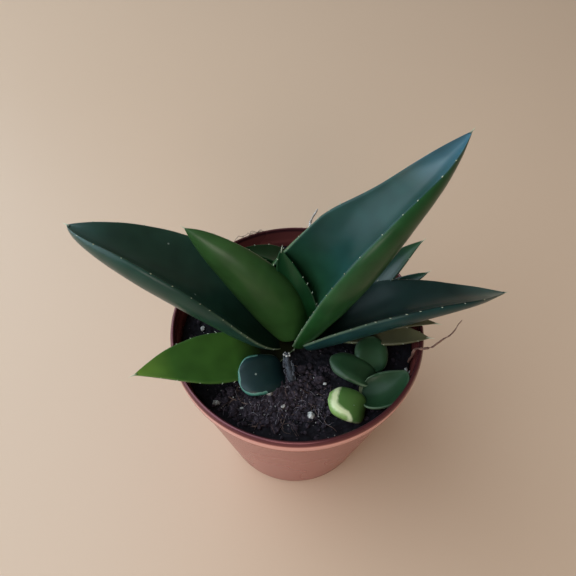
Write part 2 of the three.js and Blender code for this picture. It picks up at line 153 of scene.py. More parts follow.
# Soil, stems and dry remains: the tones at places in their clouds, how rough they are, and
# the clouds, the strength and the depth in metres of their relief. Clouds have a scale, a
# detail and a roughness.
FIBRE = dict(clouds=(350, 3), places=(0.3, 0.7), roughness=0.7, relief=((1500, 3), 0.5, 0.0001))
PAPER = dict(
    clouds=(700, 5, 0.65), places=(0.35, 0.58, 0.76), roughness=0.7,
    relief=((1300, 4), 0.8, 0.0003),
)
STUFFS = {
    "peat": dict(
        clouds=(900, 6, 0.7), places=(0.35, 0.6, 0.78), roughness=0.85, specular=0.25,
        tones=((0.003, 0.0022, 0.0035), (0.009, 0.007, 0.011), (0.045, 0.03, 0.032)),
        relief=((900, 6, 0.7), 0.8, 0.0004),
    ),
    "bark crumb": dict(
        clouds=(1100, 6, 0.75), places=(0.35, 0.53, 0.64, 0.74), roughness=0.8, specular=0.3,
        tones=((0.006, 0.004, 0.007), (0.03, 0.02, 0.028), (0.09, 0.064, 0.078), (0.3, 0.25, 0.27)),
        relief=((1100, 6, 0.75), 0.9, 0.0004),
    ),
    "pale grain": dict(
        clouds=(900, 4), places=(0.35, 0.6), roughness=0.8,
        tones=((0.12, 0.1, 0.09), (0.62, 0.6, 0.56)), relief=((1400, 4), 0.9, 0.0003),
    ),
    "fibre": dict(FIBRE, tones=((0.05, 0.028, 0.022), (0.17, 0.1, 0.08))),
    "pale thread": dict(FIBRE, tones=((0.16, 0.13, 0.15), (0.42, 0.38, 0.42))),
    "root hair": dict(FIBRE, tones=((0.12, 0.07, 0.05), (0.36, 0.26, 0.21))),
    "stem web": dict(FIBRE, tones=((0.05, 0.055, 0.07), (0.26, 0.27, 0.31))),
    "stem skin": dict(
        clouds=(300, 4, 0.6, (1, 1, 3)), places=(0.3, 0.7), roughness=0.6,
        tones=((0.06, 0.075, 0.025), (0.16, 0.15, 0.07)), relief=((800, 3), 0.5, 0.0002),
    ),
    "dry root": dict(
        clouds=(500, 4), places=(0.3, 0.7), roughness=0.65,
        tones=((0.09, 0.04, 0.03), (0.26, 0.13, 0.09)), relief=((1800, 3), 0.6, 0.0002),
    ),
    "husk": dict(PAPER, tones=((0.012, 0.014, 0.02), (0.035, 0.04, 0.052), (0.22, 0.22, 0.24))),
    "wisp": dict(PAPER, tones=((0.34, 0.26, 0.21), (0.6, 0.54, 0.5), (0.8, 0.77, 0.75))),
}

# What leaves share. steps is how finely one is divided along its length and across each face.
LARGE = dict(steps=(110, 34))
SMALL = dict(steps=(70, 26), edge=0.6, roll=(0, 0, 0))
CUT = dict(steps=(70, 26), taper=2, curl=(14, 14, 14), roll=(0, 0, 0), finish="stub")

# Each leaf follows a cubic curve from base past two guide points to its tip, with the same
# meaning of its numbers as in the part's source. finish names its colours. On a healed_side
# the scar stays at the leaf's end.
LEAVES = {
    "leaf_centre": dict(
        SMALL, curve=[(4, -1.8, 77.5), (0.6, 0.2, 92.5), (-5.8, 5, 104.4), (-4.9, 7, 108.8)],
        width=10.4, widest=0.31, base_width=0.9, taper=1.45, curl=(44, 37, 30), roll=(30, 26, 12),
        thickness=2.4, finish="young",
    ),
    "leaf_front_left": dict(
        LARGE, curve=[(-0.5, -2.4, 77.2), (-5.6, -2.6, 91.5), (-21.7, 3.6, 110.9), (-32.2, 6.6, 118.6)],
        width=18.4, widest=0.33, base_width=0.77, taper=1.9, curl=(60, 46, 32), roll=(-135, -108, -119),
        thickness=3.8, edge=0.7, finish="bright",
    ),
    "leaf_right_tall": dict(
        LARGE,
        curve=[(-0.7, 11.6, 74.7), (14.4, -6.8, 112.3), (21.7, -7.2, 135.4), (44.9, 19.5, 141.8)],
        width=34.3, widest=0.4, base_width=1.18, taper=1.4, curl=(113, 71, 58.5),
        roll=(-50.4, 10.7, -4.8), thickness=5.7, edge=0.8, finish="tall",
    ),
    "leaf_left_rear": dict(
        SMALL, curve=[(-1, 5, 76), (1, 16.5, 87), (-3, 19.5, 92.5), (-19, 13, 101.5)],
        width=13, widest=0.4, base_width=0.8, taper=1.5, curl=(41, 36, 31), roll=(4, -28, 1),
        thickness=3, finish="young",
    ),
    "leaf_left_large": dict(
        LARGE, curve=[(-4, 1.5, 77), (-21.5, -1, 90.5), (-45, -3, 117.5), (-65.9, 8.2, 118.3)],
        width=30.5, widest=0.48, base_width=0.66, taper=2.2, curl=(65, 56, 47), roll=(47.5, -15, -17),
        thickness=5.4, edge=0.8, finish="dark",
    ),
    "leaf_right_rear": dict(
        SMALL, curve=[(5.5, 3.5, 74.5), (17.5, 8.7, 77.1), (28.5, 16.1, 84.9), (39.6, 15, 103.4)],
        width=14.4, widest=0.43, base_width=0.8, taper=1.55, curl=(39, 34.5, 30),
        roll=(-6.5, -11.5, -6), thickness=3.2, finish="rear",
    ),
    "leaf_right_low": dict(
        LARGE, curve=[(5, -2.3, 74.6), (26, -2.4, 92.3), (42, -3.2, 98.5), (68.3, 5.6, 88.4)],
        width=24.9, widest=0.34, base_width=0.66, taper=2.1, curl=(60, 39.25, 18.5),
        roll=(14, 29, 28.5), thickness=4.7, edge=0.7, finish="low",
    ),
    "leaf_right_small": dict(
        SMALL, curve=[(7, 3, 74.5), (21, 9, 77), (39, 14.5, 82.5), (43.7, 12.7, 90)],
        width=7, widest=0.45, base_width=0.8, taper=1.6, curl=(30, 25, 20), thickness=2.2,
        finish="rear",
    ),
    "leaf_left_rim": dict(
        LARGE, curve=[(-1, -1.5, 73.8), (-16, -15, 75.5), (-32, -14, 84), (-48.8, -23.9, 87.6)],
        width=17.5, widest=0.54, base_width=0.4, taper=1.8, curl=(19, 14.75, 10.5), roll=(13, 9, -11),
        thickness=3.8, edge=0.7, finish="pale",
    ),
    "leaf_right_under": dict(
        SMALL, curve=[(7, -1, 74.5), (21, -2, 76.5), (33, -4.6, 79.5), (42.9, -7.9, 82)],
        width=9.5, widest=0.5, base_width=0.7, taper=1.8, curl=(25, 18.5, 12), thickness=3,
        finish="olive",
    ),
    "leaf_right_hidden": dict(
        SMALL, curve=[(9, -1, 75.5), (21, 0, 78.5), (35, -0.5, 83), (45.6, -3.8, 84)],
        width=7, widest=0.45, base_width=0.7, taper=1.7, curl=(25, 18.5, 12), thickness=2.2,
        finish="olive",
    ),
    "cut_leaf_front": dict(
        CUT, curve=[(-4.6, -15.2, 73.6), (-8, -17.7, 78.3), (-12.5, -19.8, 79.8), (-18.6, -20.2, 79)],
        width=12.4, widest=0.6, base_width=0.75, cut_width=0.85, roll=(12, 14, 16), thickness=5.2,
        edge=2.6, finish="teal",
    ),
    "offset_leaf_rear": dict(
        CUT, curve=[(24, -16.5, 74.5), (24.2, -13.5, 77.3), (24.3, -10, 79), (24.4, -5.6, 79.2)],
        width=10.4, widest=0.5, base_width=0.7, cut_width=0.65, thickness=4.6, edge=2.2,
    ),
    "offset_leaf_left": dict(
        CUT, curve=[(25, -19, 74.5), (20.8, -17.3, 77.5), (16, -15, 79), (10.7, -13, 78)],
        width=8.5, widest=0.5, base_width=0.75, cut_width=0.6, thickness=4.6, edge=2.4,
    ),
    "offset_leaf_right": dict(
        CUT, curve=[(20.5, -23.5, 74), (26, -25.2, 75.4), (30.4, -23.2, 77), (34.4, -18.2, 79)],
        width=11.6, widest=0.45, base_width=0.8, cut_width=0.3, curl=(50, 45, 40), thickness=2.6,
        edge=0.8,
    ),
    "offset_leaf_front": dict(
        CUT, curve=[(21, -29.6, 73.5), (19.6, -29.4, 77.3), (15, -28, 79.2), (9.6, -26.2, 78.2)],
        width=9.8, widest=0.5, base_width=0.8, cut_width=0.75, curl=(12, 12, 12), thickness=5.6, edge=3,
        healed_side=1, finish="yellow",
    ),
}

# Colours of the leaves at the root, along the body, at the tip and on the outer face, and how
# much the skin shines in the middle and at the tip. root_reach says where along the leaf the
# root's colour ends and the body's begins. A cut leaf has a scar round its end, out to the
# first reach from its outline, and a dried line out to the second. Below the finishes stand
# the values that they share.
FINISHES = {
    "young": dict(
        root=(0.012, 0.06, 0.012), body=(0.009, 0.05, 0.016), tip=(0.014, 0.062, 0.022),
        outer=(0.008, 0.045, 0.012), shine=(0.25, 0.25),
    ),
    "bright": dict(
        root=(0.05, 0.14, 0.03), body=(0.028, 0.076, 0.022), tip=(0.034, 0.07, 0.032),
        outer=(0.03, 0.082, 0.02), shine=(0.3, 0.22),
    ),
    # Its body and tip are tinted blue, a painted reflection of the bright sky on the inner face.
    "tall": dict(
        root=(0.02, 0.08, 0.014), body=(0.012, 0.048, 0.04), tip=(0.045, 0.14, 0.19),
        outer=(0.014, 0.066, 0.012), shine=(0.26, 0.9),
    ),
    # Its near-black root is painted shade deep in the rosette.
    "dark": dict(
        root=(0.004, 0.012, 0.006), body=(0.016, 0.046, 0.03), tip=(0.022, 0.07, 0.056),
        outer=(0.013, 0.043, 0.03), shine=(0.26, 0.5),
    ),
    # Its near-black root and its further darkened body are painted shade where the tall leaf hides it;
    # the teal of its outer face is a painted reflection.
    "low": dict(
        root=(0.004, 0.012, 0.006), body=(0.009, 0.028, 0.024), tip=(0.04, 0.1, 0.085),
        outer=(0.013, 0.046, 0.044), shine=(0.16, 0.7),
    ),
    # Its near-black root, which reaches further along, is painted shade under the leaves above it.
    "pale": dict(
        root=(0.01, 0.01, 0.004), body=(0.044, 0.112, 0.018), tip=(0.15, 0.25, 0.028),
        outer=(0.04, 0.09, 0.016), shine=(0.3, 0.3), root_reach=(0.24, 0.42),
    ),
    "rear": dict(
        root=(0.01, 0.03, 0.02), body=(0.014, 0.048, 0.034), tip=(0.034, 0.085, 0.034),
        outer=(0.016, 0.06, 0.02), shine=(0.45, 0.25),
    ),
    "olive": dict(
        root=(0.02, 0.035, 0.014), body=(0.085, 0.08, 0.042), tip=(0.13, 0.115, 0.06),
        outer=(0.08, 0.08, 0.04), shine=(0.25, 0.25),
    ),
    "teal": dict(
        root=(0.004, 0.01, 0.013), body=(0.009, 0.027, 0.028), tip=(0.01, 0.031, 0.032),
        outer=(0.006, 0.018, 0.02), shine=(0.3, 0.3),
        scar=(0.04, 0.17, 0.13), line=(0.13, 0.28, 0.22), reach=(0.12, 0.4),
    ),
    "stub": dict(
        root=(0.01, 0.028, 0.012), body=(0.018, 0.048, 0.02), tip=(0.026, 0.062, 0.03),
        outer=(0.02, 0.055, 0.022), shine=(0.22, 0.22),
        scar=(0.05, 0.085, 0.05), line=(0.035, 0.07, 0.035), reach=(0.3, 0.6),
    ),
    "yellow": dict(
        root=(0.035, 0.075, 0.02), body=(0.07, 0.15, 0.034), tip=(0.08, 0.165, 0.04),
        outer=(0.17, 0.27, 0.08), shine=(0.3, 0.3),
        scar=(0.2, 0.32, 0.09), line=(0.6, 0.64, 0.36), reach=(0.7, 2.0), soft=0.3,
    ),
}
ROOT_REACH = (0.0, 0.35)
BODY_TO = 0.78
OUTER_SHARE = 0.8
MOTTLE = dict(scale=170, tones=(0.8, 1.12), share=0.8)
SKIN_GLOSS = dict(scale=120, roughness=(0.28, 0.36))
SCAR = dict(soft=0.1, ragged=0.9, scale=500, span=5.0)
PALE_MARGIN = (0.42, 0.55, 0.34)
PALE_MARGIN_WIDTH = 0.32
PALE_MARGIN_FADE = [(0.0, 0.42), (0.2, 0.28), (0.38, 0.08), (0.5, 0.0)]
FLECK = dict(colour=(0.55, 0.62, 0.55), scale=230.0, chosen=0.93, radius=0.075, strength=0.4)
PALE_SPINE = (0.62, 0.66, 0.48)
SLOTS = {"pale": "pale_leaf", "yellow": "pale_leaf", "teal": "cut_leaf", "stub": "cut_leaf"}

# A cut leaf rounds off at its tip and at its base, from these places along it
BLUNT_FROM = dict(tip=0.72, base=0.2)

# A leaf's margin is thinnest at the base: shares of its edge there and from full on
MARGIN = dict(base=0.45, tip=1.15, full=0.55)

# Teeth along both margins: where the first one stands and where the row ends, as shares of the
# length, their size and spacing, and how far they lean to the tip. Beyond half they are smaller
# and further apart.
TEETH = dict(
    first=0.06, last=0.93, size=(0.55, 1.0), spacing=(2.6, 5.2), lean=(0.3, 0.7),
    radius=0.2, sunk=0.1, half=0.5, far_size=0.5, far_spacing=1.6,
)
TIP_SPINE = dict(length=1.8, radius=0.3, sunk=0.9)

# A distance from a margin or a scar that is too far for its marks
FAR = 10.0


# Shaping helpers


def mix(a, b, t):
    return a + (b - a) * t


def through_three(values, t):
    """The value at t of the parabola through start, middle and end."""
    start, middle, end = values
    return start * (1 - t) * (1 - 2 * t) + 4 * middle * t * (1 - t) + end * t * (2 * t - 1)


def unit(rows):
    return rows / np.linalg.norm(rows, axis=-1, keepdims=True)


def circle(radius, height, count, x=0.0, y=0.0):
    """Points of a level circle about the vertical through x and y."""
    turns = [FULL_TURN * k / count for k in range(count)]
    return [(x + radius * math.cos(turn), y + radius * math.sin(turn), height) for turn in turns]


def new_object(name, data):
    made = bpy.data.objects.new(name, data)
    bpy.context.scene.collection.objects.link(made)
    return made


class Shape:
    """Points in millimetres, faces and named values at the points, gathered for one mesh."""

    def __init__(self, *values):
        self.points = []
        self.faces = []
        self.values = {name: [] for name in values}
        self.count = 0

    def add(self, points, faces, **values):
        points = np.asarray(points, float).reshape(-1, 3)
        self.points.append(points)
        self.faces += [tuple(self.count + i for i in face) for face in faces]
        for name, rows in self.values.items():
            rows.append(np.broadcast_to(values.get(name, 0.0), len(points)).astype(float))
        self.count += len(points)

    def build(self, name, material, smooth=True):
        mesh = bpy.data.meshes.new(name)
        points = np.concatenate(self.points) * MM
        mesh.from_pydata(points.tolist(), [], self.faces)
        for value, rows in self.values.items():
            layer = mesh.attributes.new(value, "FLOAT", "POINT")
            layer.data.foreach_set("value", np.concatenate(rows).astype(np.float32))
        work = bmesh.new()
        work.from_mesh(mesh)
        bmesh.ops.recalc_face_normals(work, faces=work.faces)
        work.to_mesh(mesh)
        work.free()
        mesh.polygons.foreach_set("use_smooth", [smooth] * len(mesh.polygons))
        mesh.materials.append(material)
        return new_object(name, mesh)


def ring_faces(rings, size, start=0):
    """Quads between rings of the same number of points."""
    faces = []
    for i in range(rings - 1):
        for j in range(size):
            a = start + i * size + j
            b = start + i * size + (j + 1) % size
            faces.append((a, b, b + size, a + size))
    return faces


def end_faces(count, size):
    """The two faces that close a run of rings, of count points in all."""
    return [tuple(reversed(range(size))), tuple(range(count - size, count))]


def place(piece, slot, *nodes):
    """Puts a finished piece on the body and hides the parts of the frame that it replaces."""
    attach(piece, BODY)
    if nodes:
        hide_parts(*nodes)


def rough(points, size, amount, seed=0.0):
    """Moves points by smooth noise: size is the width of a bump in millimetres."""
    shift = Vector((seed, seed * 1.7, seed * 2.3))
    moves = [noise.noise_vector(Vector(p) / size + shift) for p in points]
    return points + np.array(moves) * amount


def smooth_path(points, count):
    """Points along a smooth curve through the given points."""
    given = [2 * Vector(points[0]) - Vector(points[1]), *map(Vector, points)]
    given.append(2 * given[-1] - given[-2])
    path = []
    for k in range(count):
        s = k / (count - 1) * (len(points) - 1)
        i = min(int(s), len(points) - 2)
        t = s - i
        a, b, c, d = given[i:i + 4]
        path.append(0.5 * (2 * b + (c - a) * t + (2 * a - 5 * b + 4 * c - d) * t * t
                           + (3 * b - a - 3 * c + d) * t ** 3))
    return np.array(path)


def tube(shape, path, radii, sides=8, **values):
    """Adds a closed tube along a path, with a radius at each of its points."""
    along = unit(np.gradient(path, axis=0))
    side = Vector(along[0]).orthogonal().normalized()
    points = []
    for centre, ahead, radius in zip(path, along, radii):
        ahead = Vector(ahead)
        side = (side - ahead * side.dot(ahead)).normalized()
        other = ahead.cross(side)
        for k in range(sides):
            angle = FULL_TURN * k / sides
            spoke = side * math.cos(angle) + other * math.sin(angle)
            points.append(Vector(centre) + spoke * float(radius))
    faces = ring_faces(len(path), sides) + end_faces(len(points), sides)
    shape.add(points, faces, **values)


def ball(detail):
    """Unit points and faces of an icosphere."""
    work = bmesh.new()
    bmesh.ops.create_icosphere(work, subdivisions=detail, radius=1.0)
    points = np.array([v.co[:] for v in work.verts])
    faces = [tuple(v.index for v in f.verts) for f in work.faces]
    work.free()
    return points, faces


# Material helpers


def new_material(name):
    material = bpy.data.materials.new(name)
    material.use_nodes = True
    tree = material.node_tree
    return material, tree, tree.nodes["Principled BSDF"]


def set_inputs(tree, made, inputs):
    """Sets a node's inputs: each is a value or another node's output."""
    for key, value in inputs.items():
        if isinstance(value, bpy.types.NodeSocket):
            tree.links.new(value, made.inputs[key])
        else:
            made.inputs[key].default_value = value


def node(tree, kind, inputs=None, **settings):
    made = tree.nodes.new(kind)
    for key, value in settings.items():
        setattr(made, key, value)
    set_inputs(tree, made, inputs or {})
    return made


def math_node(tree, operation, a, b=0.0, clamp=False):
    return node(tree, "ShaderNodeMath", {0: a, 1: b}, operation=operation, use_clamp=clamp).outputs[0]


def value_at(tree, name):
    """A named value that the mesh holds at its points."""
    return node(tree, "ShaderNodeAttribute", attribute_name=name).outputs["Fac"]


def blend(tree, factor, a, b, kind="MIX"):
    a = a if isinstance(a, bpy.types.NodeSocket) else (*a, 1)
    b = b if isinstance(b, bpy.types.NodeSocket) else (*b, 1)
    return node(tree, "ShaderNodeMix", {0: factor, 6: a, 7: b}, data_type="RGBA",
                blend_type=kind).outputs[2]


def ramp(tree, factor, stops):
    """Colours or greys at places along a factor."""
    made = node(tree, "ShaderNodeValToRGB", {0: factor})
    elements = made.color_ramp.elements
    while len(elements) < len(stops):
        elements.new(0.5)
    for element, (position, colour) in zip(elements, stops):
        element.position = position
        element.color = (*colour, 1) if isinstance(colour, tuple) else (colour, colour, colour, 1)
    return made.outputs[0]


def scaled_ramp(tree, value, span, stops):
    """A ramp whose places are given in the value's own unit, from 0 to span."""
    level = math_node(tree, "DIVIDE", value, span)
    return ramp(tree, level, [(stop / span, colour) for stop, colour in stops])


def where(tree, stretch=(1, 1, 1)):
    """Object coordinates in metres, stretched."""
    coordinates = node(tree, "ShaderNodeTexCoord").outputs["Object"]
    return node(tree, "ShaderNodeMapping", {"Vector": coordinates, "Scale": stretch}).outputs[0]


def clouds(tree, scale, detail=4.0, roughness=0.55, stretch=(1, 1, 1)):
    return node(tree, "ShaderNodeTexNoise", {
        "Vector": where(tree, stretch), "Scale": scale, "Detail": detail, "Roughness": roughness,
    }).outputs[0]


def bump(tree, height, strength, distance):
    return node(tree, "ShaderNodeBump", {
        "Height": height, "Strength": strength, "Distance": distance,
    }).outputs[0]


# Materials


def leaf_tone(tree, colours, along):
    """The skin's colours along the leaf, those of its outer face, and a soft mottle."""
    root_end, body_start = colours.get("root_reach", ROOT_REACH)
    skin = ramp(tree, along, [
        (root_end, colours["root"]), (body_start, colours["body"]), (BODY_TO, colours["body"]),
        (1.0, colours["tip"]),
    ])
    outer_share = math_node(tree, "MULTIPLY", value_at(tree, "under"), OUTER_SHARE)
    skin = blend(tree, outer_share, skin, colours["outer"])
    mottle = ramp(tree, clouds(tree, MOTTLE["scale"], 1), list(zip((0.3, 0.7), MOTTLE["tones"])))
    return blend(tree, MOTTLE["share"], skin, mottle, "MULTIPLY")


def scarred(tree, colours, skin):
    """The skin with the dried line and the scar of a cut end, both with a ragged outline."""
    scar_reach, line_reach = colours["reach"]
    soft = colours.get("soft", SCAR["soft"])
    ragged = math_node(tree, "MULTIPLY", clouds(tree, SCAR["scale"], 4), SCAR["ragged"])
    distance = math_node(tree, "ADD", value_at(tree, "scar"), ragged)
    for middle, colour in [(line_reach + 0.55, colours["line"]), (scar_reach + 0.5, colours["scar"])]:
        inside = scaled_ramp(tree, distance, SCAR["span"], [(middle - soft, 1), (middle + soft, 0)])
        skin = blend(tree, inside, skin, colour)
    return skin


def pale_marked(tree, skin, along):
    """The skin with its pale margin near the base, pale flecks and pale spines."""
    near_edge = math_node(tree, "DIVIDE", value_at(tree, "edge"), PALE_MARGIN_WIDTH)
    line = math_node(tree, "SUBTRACT", 1.0, near_edge, clamp=True)
    fade = ramp(tree, along, PALE_MARGIN_FADE)
    skin = blend(tree, math_node(tree, "MULTIPLY", line, fade), skin, PALE_MARGIN)
    cells = node(tree, "ShaderNodeTexVoronoi", {"Vector": where(tree), "Scale": FLECK["scale"]})
    lot = node(tree, "ShaderNodeSeparateColor", {0: cells.outputs["Color"]}).outputs[0]
    chosen = math_node(tree, "GREATER_THAN", lot, FLECK["chosen"])
    dot = math_node(tree, "LESS_THAN", cells.outputs["Distance"], FLECK["radius"])
    dot = math_node(tree, "MULTIPLY", math_node(tree, "MULTIPLY", dot, chosen), FLECK["strength"])
    skin = blend(tree, dot, skin, FLECK["colour"])
    return blend(tree, value_at(tree, "pale"), skin, PALE_SPINE)


def leaf_material(name, finish):
    """Waxy leaf skin in the colours of a finish."""
    material, tree, shader = new_material(name)
    colours = FINISHES[finish]
    along = value_at(tree, "along")
    skin = leaf_tone(tree, colours, along)
    if "scar" in colours:
        skin = scarred(tree, colours, skin)
    middle, end = colours["shine"]
    # The shine fades to almost nothing at the base: painted shade where the leaves crowd together.
    sheen_with_base_shade = ramp(tree, along, [
        (0.0, 0.05), (0.22, middle * 0.4), (0.5, middle), (0.75, middle), (0.95, end),
    ])
    gloss = clouds(tree, SKIN_GLOSS["scale"], 1)
    set_inputs(tree, shader, {
        "Base Color": pale_marked(tree, skin, along), "Specular IOR Level": sheen_with_base_shade,
        "Roughness": ramp(tree, gloss, list(zip((0.3, 0.7), SKIN_GLOSS["roughness"]))),
        "Subsurface Weight": 0.08, "Subsurface Radius": (0.0012, 0.002, 0.0006),
    })
    return material


def pot_material():
    """Copper-coloured glossy plastic, with painted shade on the lip and a painted highlight on the
    collar.
    """
    material, tree, shader = new_material("pot plastic")
    span = 100.0
    tone = ramp(tree, clouds(tree, 40, 1), list(zip((0.3, 0.7), POT_TONES["wall"])))
    x, y, z = node(tree, "ShaderNodeSeparateXYZ", {0: where(tree)}).outputs
    height = math_node(tree, "DIVIDE", z, MM)
    # A painted highlight round the outside of the collar
    collar_highlight = scaled_ramp(tree, height, span, zip(POT_TONES["collar_highlight_heights"], (0, 1, 1, 0)))
    squares = [math_node(tree, "MULTIPLY", side, side) for side in (x, y)]
    radius = math_node(tree, "SQRT", math_node(tree, "ADD", *squares))
    outside = math_node(tree, "GREATER_THAN", radius, POT_TONES["outside"] * MM)
    tone = blend(tree, math_node(tree, "MULTIPLY", collar_highlight, outside), tone, POT_TONES["collar"])
    # Painted shade on the lip
    top = scaled_ramp(tree, height, span, zip(POT_TONES["lip_shade_heights"], (0, 1)))
    tone = blend(tree, top, tone, POT_TONES["lip"])
    gloss = ramp(tree, clouds(tree, 40, 1, 0.5), list(zip((0.3, 0.75), POT_TONES["gloss"])))
    set_inputs(tree, shader, {
        "Base Color": tone, "Roughness": gloss, "Metallic": POT_TONES["metallic"],
        "Specular IOR Level": POT_TONES["specular"],
    })
    return material


def stuff_material(name):
    """Soil, stem or dry remains, from the table of stuffs."""
    material, tree, shader = new_material(name)
    stuff = STUFFS[name]
    tone = ramp(tree, clouds(tree, *stuff["clouds"]), list(zip(stuff["places"], stuff["tones"])))
    relief, strength, depth = stuff["relief"]
    set_inputs(tree, shader, {
        "Base Color": tone, "Roughness": stuff["roughness"],
        "Specular IOR Level": stuff.get("specular", 0.5),
        "Normal": bump(tree, clouds(tree, *relief), strength, depth),
    })
    return material


def floor_material():
    """Plain pale surface."""
    material, tree, shader = new_material("floor")
    shaded = tuple(channel * FLOOR["shade"] for channel in FLOOR["colour"])
    tone = ramp(tree, clouds(tree, 6, 2), [(0.3, shaded), (0.7, FLOOR["colour"])])
    set_inputs(tree, shader, {"Base Color": tone, "Roughness": FLOOR["roughness"]})
    return material


# Camera, floor and lights


def make_camera():
    data = bpy.data.cameras.new("camera")
    data.lens = CAMERA["lens"]
    data.sensor_width = CAMERA["sensor"]
    data.clip_start = CAMERA["near"] * MM
    camera = new_object("camera", data)
    camera.location = Vector(CAMERA["place"]) * MM
    camera.rotation_euler = Euler((math.radians(CAMERA["tilt"]), 0, 0))
    bpy.context.scene.camera = camera


def make_floor():
    half = FLOOR["half"] / MM
    shape = Shape()
    shape.add([(-half, -half, 0), (half, -half, 0), (half, half, 0), (-half, half, 0)], [(0, 1, 2, 3)])
    shape.build("floor", floor_material(), smooth=False)


def make_sky():
    world = bpy.data.worlds.new("sky")
    world.use_nodes = True
    tree = world.node_tree
    direction = node(tree, "ShaderNodeTexCoord").outputs["Generated"]
    side = node(tree, "ShaderNodeSeparateXYZ", {0: direction}).outputs[0]
    start, end = SKY["between"]
    level = node(tree, "ShaderNodeMapRange", {0: side, 1: start, 2: end}).outputs[0]
    tone = blend(tree, level, SKY["bright"], SKY["dim"])
    set_inputs(tree, tree.nodes["Background"], {"Color": tone, "Strength": SKY["strength"]})
    bpy.context.scene.world = world
    bpy.context.scene.view_settings.view_transform = "Standard"


def make_lights():
    for light in LIGHTS:
        data = bpy.data.lights.new(light["name"], "AREA")
        data.shape = "RECTANGLE"
        data.size, data.size_y = light["size"]
        data.energy = light["power"]
        data.color = light["colour"]
        azimuth = math.radians(light["azimuth"])
        elevation = math.radians(light["elevation"])
        level = math.cos(elevation)
        away = Vector((math.cos(azimuth) * level, math.sin(azimuth) * level, math.sin(elevation)))
        lamp = new_object(light["name"], data)
        lamp.location = Vector(AIM) + away * light["distance"]
        lamp.rotation_euler = away.to_track_quat("Z", "Y").to_euler()


# Pot


def inner_radius(height):
    """Inside radius of the pot's tapered wall at a height."""
    return mix(POT["base"], BODY_TOP_RADIUS, height / BODY_TOP) - POT["wall"]


def arc(centre, radius, start, end, count=6):
    """Profile points on an arc; angles in degrees, 0 pointing outwards and 90 up."""
    angles = [math.radians(mix(start, end, k / count)) for k in range(count + 1)]
    return [(centre[0] + radius * math.cos(a), centre[1] + radius * math.sin(a)) for a in angles]


def outer_profile():
    """Radius and height up the outside: the foot, the wall, the step and the collar."""
    base, base_round, soft = POT["base"], POT["base_round"], POT["soft"]
    collar_low = POT["height"] - POT["collar"]
    collar_radius = POT["rim"] - POT["taper"]
    corner = POT["collar_round"]
    across, down = POT["outer_round"]
    profile = [(0, 0), (base - base_round, 0)]
    profile += arc((base - base_round, base_round), base_round, -90, 0)[1:]
    for k in range(1, 12):
        profile.append((mix(base, BODY_TOP_RADIUS, k / 12), mix(base_round, BODY_TOP - soft, k / 12)))
    profile += [(BODY_TOP_RADIUS - 0.05, BODY_TOP - soft), (BODY_TOP_RADIUS + 0.1, BODY_TOP),
                (collar_radius - 0.25, collar_low - 0.25)]
    profile += arc((collar_radius - corner, collar_low + soft), corner, -60, 0, 4)
    for k in range(5):
        height = mix(collar_low + 2 * soft, POT["height"] - down, k / 4)
        profile.append((mix(collar_radius, POT["rim"], k / 4), height))
    for x, y in arc((0, 0), 1, 0, 90, 10)[1:]:
        profile.append((POT["rim"] - across + across * x, POT["height"] - down + down * y))
    return profile


def inner_profile():
    """Radius and height down the inside, from the lip to the middle of the floor."""
    inside, rounding, floor = POT["rim"] - POT["lip"], POT["round"], POT["floor"]
    collar_low = POT["height"] - POT["collar"]
    profile = arc((inside + rounding, POT["height"] - rounding), rounding, 90, 180)
    profile += [(inside, collar_low + 0.4), (inside - 0.2, collar_low),
                (inner_radius(BODY_TOP) + 0.1, BODY_TOP + 0.2), (inner_radius(BODY_TOP), BODY_TOP - 0.2)]
    for k in range(1, 9):
        height = mix(BODY_TOP, floor, k / 8)
        profile.append((inner_radius(height), height))
    return profile + [(0, floor)]


def cut_drain_holes(pot):
    """Cuts a ring of round holes through the pot's floor."""
    holes = Shape()
    sides = DRAIN["sides"]
    for x, y, _ in circle(DRAIN["circle"], 0, DRAIN["count"]):
        points = circle(DRAIN["radius"], DRAIN["bottom"], sides, x, y)
        points += circle(DRAIN["radius"], DRAIN["top"], sides, x, y)
        holes.add(points, ring_faces(2, sides) + end_faces(2 * sides, sides))
    cutter = holes.build("drain_cutter", pot.data.materials[0], smooth=False)
    cut = pot.modifiers.new("drain", "BOOLEAN")
    cut.object = cutter
    cut.operation = "DIFFERENCE"
    bpy.context.view_layer.update()
    evaluated = pot.evaluated_get(bpy.context.evaluated_depsgraph_get())
    result = bpy.data.meshes.new_from_object(evaluated)
    pot.modifiers.clear()
    pot.data = result
    bpy.data.objects.remove(cutter)


def make_pot():
    profile = outer_profile() + inner_profile()
    sides = POT["sides"]
    points = [(0, 0, profile[0][1])]
    for radius, height in profile[1:-1]:
        points += circle(radius, height, sides)
    points.append((0, 0, profile[-1][1]))
    rings = len(profile) - 2
    faces = ring_faces(rings, sides, 1)
    last = 1 + (rings - 1) * sides
    for k in range(sides):
        after = (k + 1) % sides
        faces += [(0, 1 + after, 1 + k), (len(points) - 1, last + k, last + after)]
    shape = Shape()
    shape.add(points, faces)
    pot = shape.build("pot_shell", pot_material())
    cut_drain_holes(pot)
    place(pot, "pot", "pot")


# Soil


def soil_height(x, y):
    """Height of the soil without its crumbs."""
    away = ((x - MOUND["x"]) ** 2 + (y - MOUND["y"]) ** 2) / (2 * MOUND["spread"] ** 2)
    ripple = math.sin(x * 0.61 + 1.3) * math.cos(y * 0.53) + math.sin(x * 0.27 - y * 0.39)
    return SOIL["level"] + MOUND["height"] * math.exp(-away) + SOIL["ripple"] * ripple


def heap_share(x, y):
    """1 in the middle of the heap, falling to 0 beyond its foot."""
    (middle_x, middle_y), (reach_x, reach_y) = HEAP["middle"], HEAP["reach"]
    return math.exp(-((x - middle_x) / reach_x) ** 2 / 2 - ((y - middle_y) / reach_y) ** 2 / 2)


def soil_surface(x, y):
    """Height of the crumbly surface."""
    spot = Vector((x, y, 0))
    crumb = sum(height * noise.noise(spot / width) for width, height in SOIL["crumb"])
    return soil_height(x, y) + crumb * (1 + SOIL["heap_crumb"] * heap_share(x, y))


